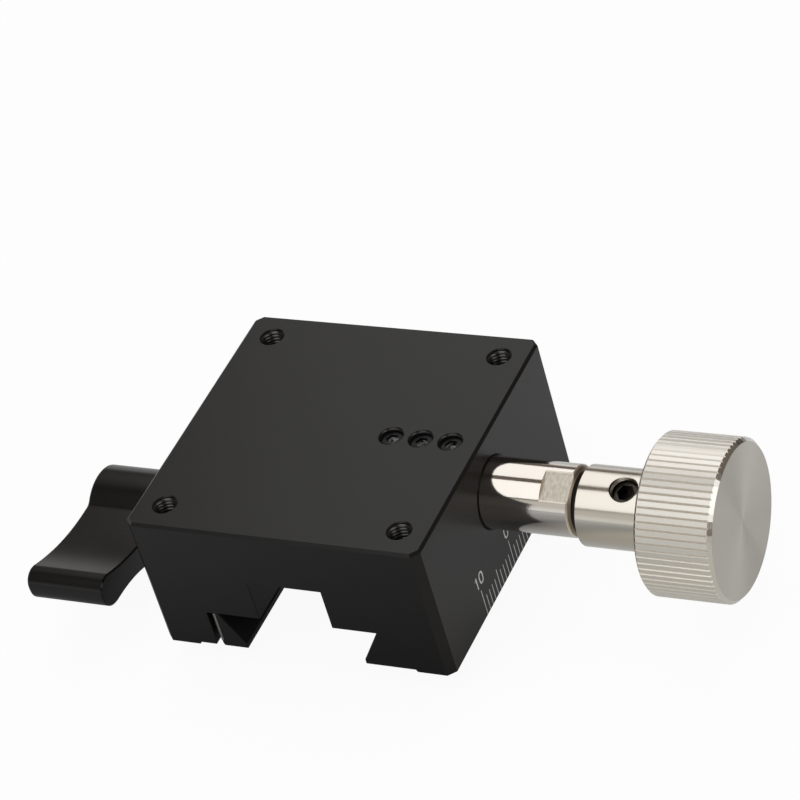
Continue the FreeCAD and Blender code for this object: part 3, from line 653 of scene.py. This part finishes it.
@dataclass
class VernierScale:
    """Engraved and filled double vernier at the foot of the right face.

    Args:
        pitch: distance of two ticks in millimetres.
        count: ticks on each side of zero.
        stroke: line width of the ticks.
        glyph_stroke: line width of the digits.
        film: how far the fill stands out of the face.
        base_z: foot of the face.
        foot: height at which the ticks start.
        tick_heights: where a short, a middle and a long tick end.
        glyph_base: height at which the digits start.
        glyph_height: height of a digit.
        zero_half_width: half the width of a zero.
        zero_sides: sides of a zero's outline.
        zero_power: below 1 the zero's outline is fuller than an ellipse.
        ten_starts: where each ten starts along Y.
        ten_step: from the start of a ten to the middle of its zero.
        stem_step: from the start of a ten to the stem of its one.
        flag_width: width of the one's flag.
        flag_drops: how far the flag's corners lie below the digit's top.
    """

    pitch: float = 0.9
    count: int = 10
    stroke: float = 0.125
    glyph_stroke: float = 0.235
    film: float = 0.008
    base_z: float = BLOCK_BOTTOM_Z
    foot: float = 0.02
    tick_heights: tuple[float, float, float] = (2.5, 3.3, 4.0)
    glyph_base: float = 4.55
    glyph_height: float = 1.8
    zero_half_width: float = 0.57
    zero_sides: int = 32
    zero_power: float = 0.8
    ten_starts: tuple[float, float] = (-9.85, 8.05)
    ten_step: float = 1.68
    stem_step: float = 0.32
    flag_width: float = 0.4
    flag_drops: tuple[float, float, float, float] = (0.42, 0.14, 0.0, 0.28)

    def _quad(self, y0: float, y1: float, h0: float, h1: float) -> np.ndarray:
        """Upright rectangle on the face.

        Args:
            y0: where it starts along Y.
            y1: where it ends along Y.
            h0: its foot above the face's foot.
            h1: its top above the face's foot.

        Returns:
            Its four corners.
        """
        x = HALF_SIDE + self.film
        corners = [(x, y0, h0), (x, y1, h0), (x, y1, h1), (x, y0, h1)]
        return np.array(corners, float) + [0.0, 0.0, self.base_z]

    def _oval(self, centre: float) -> list[np.ndarray]:
        """Ring of quads between two ovals, the outline of a zero.

        Args:
            centre: middle of the glyph along Y.

        Returns:
            The quads.
        """
        angle = np.linspace(0.0, 2 * math.pi, self.zero_sides + 1)
        x = np.full(len(angle), HALF_SIDE + self.film)
        half_w, half_h = self.zero_half_width, self.glyph_height / 2
        middle = self.base_z + self.glyph_base + half_h
        wide = np.sign(np.cos(angle)) * np.abs(np.cos(angle)) ** self.zero_power
        high = np.sign(np.sin(angle)) * np.abs(np.sin(angle)) ** self.zero_power
        rings = []
        for shrink in (0.0, self.glyph_stroke):
            y = centre + (half_w - shrink) * wide
            z = middle + (half_h - shrink) * high
            rings.append(np.stack([x, y, z], axis=1))
        outer, inner = rings
        sides = range(self.zero_sides)
        return [np.array([outer[i], outer[i + 1], inner[i + 1], inner[i]]) for i in sides]

    def _one(self, left: float) -> list[np.ndarray]:
        """Stem and flag of a one.

        Args:
            left: where the flag starts along Y.

        Returns:
            The quads.
        """
        top = self.glyph_base + self.glyph_height
        stem_left = left + self.stem_step
        stem = self._quad(stem_left, stem_left + self.glyph_stroke, self.glyph_base, top)
        flag = self._quad(left, left + self.flag_width, 0.0, 0.0)
        flag[:, 2] = self.base_z + np.array([top - drop for drop in self.flag_drops])
        return [stem, flag]

    def build(self) -> bpy.types.Object:
        """Collects every stroke into one piece.

        Returns:
            The marks.
        """
        quads: list[np.ndarray] = []
        short, middle, long = self.tick_heights
        for step in range(-self.count, self.count + 1):
            height = {0: long, 5: middle}.get(abs(step) % 10, short)
            y = step * self.pitch
            quads.append(self._quad(y - self.stroke / 2, y + self.stroke / 2, self.foot, height))
        quads += self._oval(0.0)
        for left in self.ten_starts:
            quads += self._one(left)
            quads += self._oval(left + self.ten_step)
        corners = np.concatenate(quads) * MM
        mesh = bpy.data.meshes.new("vernier_marks")
        mesh.from_pydata(corners, [], np.arange(len(corners)).reshape(-1, 4))
        mesh.update()
        piece = bpy.data.objects.new("vernier_marks", mesh)
        bpy.context.scene.collection.objects.link(piece)
        return piece


@dataclass
class Assembly:
    """A group of CAD nodes with their finishes and the pieces that dress them.

    Args:
        body: CAD body that the dressing rides on.
        looks: finish of each CAD node.
        pieces: each dressing piece with its finish.
    """

    body: str
    looks: dict[str, Look]
    pieces: list[tuple[bpy.types.Object, Look]] = field(default_factory=list)

    def dress(self, kit: FinishKit) -> None:
        """Gives the nodes and pieces their materials and mounts the pieces.

        Args:
            kit: the made materials.
        """
        for node, look in self.looks.items():
            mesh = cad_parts[node].data
            mesh.materials.clear()
            mesh.materials.append(kit.made[look])
        for piece, look in self.pieces:
            piece.data.materials.append(kit.made[look])
            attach(piece, self.body)
            LOG.info("piece %s rides on %s", piece.name, self.body)
        LOG.info("%s: %d nodes, %d pieces", self.body, len(self.looks), len(self.pieces))


def slit_edge() -> bpy.types.Object:
    """Narrow strip of bright metal down the jaw's front edge on the slit, leaning with the corner it
    follows; its bright colour is a painted highlight on the black edge.

    Returns:
        The strip.
    """
    rise = np.linspace(BLOCK_BOTTOM_Z + STRIP_FOOT, BLOCK_BOTTOM_Z + STRIP_TOP, 9)
    inside = [JAW_EDGE_X - STRIP_FILM, -HALF_SIDE + STRIP_RETURN]
    corner = [JAW_EDGE_X - STRIP_FILM, -HALF_SIDE - STRIP_CORNER_FILM]
    front = [JAW_EDGE_X + STRIP_WIDTH, -HALF_SIDE - STRIP_FILM]
    points = np.array([[[x, y, z] for z in rise] for x, y in (inside, corner, front)])
    return grid_mesh("slit_edge", points)


def carriage() -> Assembly:
    """The block with its threads and vernier.

    Returns:
        The assembly.
    """
    made = Assembly("carriage", {"carriage_block": Look.BLOCK})
    for name in ("inner", "middle", "outer"):
        made.looks["sleeve_set_screw_" + name] = Look.SET_SCREW
    down = (0.0, 0.0, -1.0)
    for column, x in enumerate((-TABLE_HOLE_OFFSET, TABLE_HOLE_OFFSET)):
        for row, y in enumerate((-TABLE_HOLE_OFFSET, TABLE_HOLE_OFFSET)):
            thread = InnerThread(
                f"table_thread_{column}{row}", (x, y, -TABLE_THREAD_DEPTH), down,
                wall=TABLE_HOLE_RADIUS, crest=1.24, pitch=0.5, length=5.4,
            )
            made.pieces.append((thread.build(), Look.THREAD))
    for index, x in enumerate(SLEEVE_SCREW_XS):
        thread = InnerThread(
            f"screw_thread_{index}", (x, 0.0, -SLEEVE_SCREW_THREAD_DEPTH), down,
            wall=SLEEVE_SCREW_HOLE_RADIUS, crest=1.38, pitch=0.5, length=0.75,
        )
        made.pieces.append((thread.build(), Look.THREAD))
    made.pieces.append((VernierScale().build(), Look.MARK))
    made.pieces.append((slit_edge(), Look.SLIT_HIGHLIGHT))
    return made


def spindle() -> Assembly:
    """Pinion shaft, knob and its set screw.

    Returns:
        The assembly.
    """
    looks = {"pinion_shaft": Look.STEEL, "knob": Look.KNOB, "knob_set_screw": Look.GREY_STEEL}
    made = Assembly("spindle", looks)
    angle = math.radians(KNOB_SCREW_ANGLE)
    axis = (0.0, math.cos(angle), math.sin(angle))
    start = (KNOB_SCREW_X, KNOB_THREAD_RADIUS * axis[1], SPINDLE_AXIS_Z + KNOB_THREAD_RADIUS * axis[2])
    inward = (0.0, -axis[1], -axis[2])
    thread = InnerThread(
        "knob_screw_thread", start, inward,
        wall=KNOB_SCREW_HOLE_RADIUS, crest=1.56, pitch=0.35, length=0.75,
    )
    made.pieces.append((thread.build(), Look.KNOB))
    return made


def sleeve() -> Assembly:
    """Eccentric sleeve with its bushes and washers.

    Returns:
        The assembly.
    """
    looks = {
        "eccentric_sleeve": Look.SLEEVE,
        "sleeve_bush_inner": Look.BRONZE, "sleeve_bush_outer": Look.BRONZE,
        "thrust_washer_inner": Look.STEEL, "thrust_washer_outer": Look.RESIN,
    }
    return Assembly("sleeve", looks)


def lever() -> Assembly:
    """Lock lever with its stud, screw and washer.

    Returns:
        The assembly.
    """
    looks = {
        "lock_lever": Look.LEVER, "lock_stud": Look.STUD,
        "lever_screw": Look.SCREW, "lever_washer": Look.STEEL,
    }
    return Assembly("lever", looks)


@dataclass
class Studio:
    """Camera, floor, lamps and world.

    Args:
        floor_z: height of the floor in metres.
        floor_tones: how much light the floor throws back on the object, behind it, and before it
            from left to right.
        floor_glow: share of the floor that shows the camera plain white, over the shadow.
        floor_sheen: share of the floor that keeps its tone in reflections, also in the shadow.
        floor_reach: half the floor's side in millimetres.
        wall_start: how far a direction must point to the front to meet the pale wall.
        sweep_top: how high the white sweep reaches on the left, as the height of a direction.
        lens: focal length in millimetres.
        sensor: sensor width in millimetres.
        reach: distance of the softboxes in metres.
        aim: point that the softboxes face.
        eye: place of the camera.
        right: the camera's direction to the right.
        down: the camera's direction down.
        ahead: the camera's direction of view.
    """

    floor_z: float = LOADED_BOX[0][2] - 0.0001
    floor_tones: tuple[float, float, float, float] = (0.78, 0.66, 0.46, 0.68)
    floor_glow: float = 0.94
    floor_sheen: float = 0.4
    floor_reach: float = 3000.0
    wall_start: float = 0.78
    sweep_top: float = 0.24
    lens: float = 166.83
    sensor: float = 36.0
    reach: float = 0.6
    aim: tuple[float, float, float] = (0.02, 0.0, -0.01)
    eye: tuple[float, float, float] = (0.20847, -0.29268, 0.27997)
    right: tuple[float, float, float] = (0.89289, 0.38576, -0.23225)
    down: tuple[float, float, float] = (0.08431, -0.6499, -0.75533)
    ahead: tuple[float, float, float] = (-0.44231, 0.65484, -0.61281)

    def camera(self) -> None:
        """Places the camera from its fitted place and axes."""
        data = bpy.data.cameras.new("camera")
        data.lens = self.lens
        data.sensor_width = self.sensor
        data.clip_start, data.clip_end = 0.01, 10.0
        camera = bpy.data.objects.new("camera", data)
        rows = (self.right, [-v for v in self.down], [-v for v in self.ahead])
        axes = Matrix(rows).transposed().to_4x4()
        axes.translation = self.eye
        camera.matrix_world = axes
        bpy.context.scene.collection.objects.link(camera)
        bpy.context.scene.camera = camera

    @staticmethod
    def _past(g: Graph, place: bpy.types.NodeSocket, start: float, width: float) -> bpy.types.NodeSocket:
        """Mask that grows from 0 to 1 along one coordinate.

        Args:
            g: the material's graph.
            place: the coordinate in metres.
            start: where the mask leaves 0, in millimetres.
            width: how far on it reaches 1, in millimetres.

        Returns:
            The mask.
        """
        return g.math("DIVIDE", g.math("SUBTRACT", place, start * MM), width * MM, clamp=True)

    @staticmethod
    def _before(g: Graph, place: bpy.types.NodeSocket, start: float, width: float) -> bpy.types.NodeSocket:
        """Mask that grows from 0 to 1 against one coordinate.

        Args:
            g: the material's graph.
            place: the coordinate in metres.
            start: where the mask leaves 0, in millimetres.
            width: how far back it reaches 1, in millimetres.

        Returns:
            The mask.
        """
        return g.math("DIVIDE", g.math("SUBTRACT", start * MM, place), width * MM, clamp=True)

    def floor(self) -> None:
        """Pale floor, shown white to the camera where no shadow falls."""
        ends = (-self.floor_reach, self.floor_reach)
        plane = grid_mesh("floor", np.array([[[x, y, self.floor_z / MM] for x in ends] for y in ends]))
        material = bpy.data.materials.new(Look.FLOOR.value)
        material.use_nodes = True
        material.node_tree.nodes.clear()
        g = Graph(material.node_tree)
        path = g.node("ShaderNodeLightPath")
        seen = path.outputs["Is Camera Ray"]
        mirrored = g.math("MULTIPLY", path.outputs["Is Glossy Ray"], self.floor_sheen)
        matt = g.node("ShaderNodeBsdfDiffuse")
        place = g.node("ShaderNodeSeparateXYZ")
        g.feed(place.inputs[0], g.node("ShaderNodeTexCoord").outputs["Object"])
        x, y = place.outputs[0], place.outputs[1]
        # Tones seen only in reflections and bounced light are painted light and shade: a painted shadow
        # darkens the floor close before the block, the unlit patch behind on the right is painted shade,
        # and the front tones change from left to right
        front = self._before(g, y, -2.0, 12.0)
        shadow_fade = self._before(g, y, -20.0, 20.0)
        side = self._past(g, x, -35.0, 50.0)
        far_side = self._past(g, x, 17.0, 10.0)
        unlit = g.math("MULTIPLY", self._past(g, y, 70.0, 40.0), self._past(g, x, -20.0, 20.0))
        tones = [(tone, tone, tone, 1.0) for tone in self.floor_tones]
        back_tone, left_tone, middle_tone, right_tone = tones
        right_tone = (right_tone[0], 0.95 * right_tone[1], 0.87 * right_tone[2], 1.0)
        before = g.mix_color(side, left_tone, middle_tone)
        before = g.mix_color(shadow_fade, g.mix_color(0.45, before, BLACK), before)
        before = g.mix_color(far_side, before, right_tone)
        rear = g.mix_color(unlit, back_tone, (0.12, 0.1, 0.09, 1.0))
        thrown = g.mix_color(front, rear, before)
        tone = g.mix_color(seen, thrown, (0.93, 0.93, 0.93, 1.0))
        g.feed(matt.inputs["Color"], tone)
        # In reflections a share of the floor glows with these tones, a painted reflection that keeps them
        # also in the shadow
        glow = g.node("ShaderNodeEmission")
        g.feed(glow.inputs["Color"], g.mix_color(seen, thrown, WHITE))
        glow.inputs["Strength"].default_value = 1.0
        mixed = g.node("ShaderNodeMixShader")
        g.feed(mixed.inputs[0], g.math("ADD", g.math("MULTIPLY", seen, self.floor_glow), mirrored))
        g.feed(mixed.inputs[1], matt.outputs[0])
        g.feed(mixed.inputs[2], glow.outputs[0])
        output = g.node("ShaderNodeOutputMaterial")
        g.feed(output.inputs["Surface"], mixed.outputs[0])
        plane.data.materials.append(material)

    def lamp(
        self, name: str, direction: tuple[float, float, float], size: tuple[float, float], power: float,
    ) -> None:
        """Adds a softbox that faces the object.

        Args:
            name: lamp name.
            direction: from the object to the softbox, scaled to its distance.
            size: width across X and the other width, in metres.
            power: watts.
        """
        data = bpy.data.lights.new(name, "AREA")
        data.shape = "RECTANGLE"
        data.size, data.size_y = size
        data.energy = power
        lamp = bpy.data.objects.new(name, data)
        ahead = -Vector(direction).normalized()
        across = Vector((1.0, 0.0, 0.0)) - ahead * ahead.x
        across.normalize()
        turn = Matrix((across, (-ahead).cross(across), -ahead)).transposed().to_4x4()
        turn.translation = Vector(self.aim) + Vector(direction) * self.reach
        lamp.matrix_world = turn
        bpy.context.scene.collection.objects.link(lamp)

    def world(self) -> None:
        """White to the camera, grey as ambient light, and a dim room with a pale wall in reflections."""
        world = bpy.data.worlds.new("studio")
        bpy.context.scene.world = world
        world.use_nodes = True
        world.node_tree.nodes.clear()
        g = Graph(world.node_tree)
        path = g.node("ShaderNodeLightPath")
        seen = g.math("MAXIMUM", path.outputs["Is Camera Ray"], path.outputs["Is Transmission Ray"])
        toward = g.node("ShaderNodeSeparateXYZ")
        g.feed(toward.inputs[0], g.node("ShaderNodeTexCoord").outputs["Generated"])
        near_side = g.math("SUBTRACT", g.math("MULTIPLY", toward.outputs[1], -1.0), self.wall_start)
        wall = g.math("MULTIPLY", near_side, 25.0, clamp=True)
        room = g.mix_color(wall, (0.17, 0.14, 0.115, 1.0), (0.74, 0.71, 0.66, 1.0))
        left_part = g.math("MULTIPLY", g.math("SUBTRACT", -0.15, toward.outputs[0]), 6.0, clamp=True)
        below = g.math("SUBTRACT", self.sweep_top, toward.outputs[2])
        low_part = g.math("MULTIPLY", below, 8.0, clamp=True)
        room = g.mix_color(g.math("MULTIPLY", left_part, low_part), room, (0.95, 0.94, 0.92, 1.0))
        mirrored = g.mix_color(path.outputs["Is Glossy Ray"], (0.3, 0.3, 0.3, 1.0), room)
        background = g.node("ShaderNodeBackground")
        g.feed(background.inputs["Color"], g.mix_color(seen, mirrored, WHITE))
        background.inputs["Strength"].default_value = 1.0
        output = g.node("ShaderNodeOutputWorld")
        g.feed(output.inputs["Surface"], background.outputs[0])

    def build(self) -> None:
        """Sets up the whole studio."""
        self.camera()
        self.floor()
        self.world()
        self.lamp("softbox_back", (-0.155, 0.55, 0.78), (0.52, 0.555), 1.2)
        self.lamp("softbox_front", (-0.12, -0.48, 0.81), (0.45, 0.53), 1.05)
        self.lamp("softbox_right", (0.897, -0.102, 0.419), (0.26, 0.46), 0.5)
        bpy.context.scene.view_settings.view_transform = "Standard"
        LOG.info("studio ready")


def main() -> None:
    """Dresses the frame."""
    logging.basicConfig(level=logging.INFO, format="%(name)s: %(message)s")
    kit = FinishKit(GroupShop())
    tip = Assembly("tip", {"clamp_tip": Look.BRASS})
    for assembly in (carriage(), sleeve(), spindle(), lever(), tip):
        assembly.dress(kit)
    Studio().build()


if __name__ == "__main__":
    main()
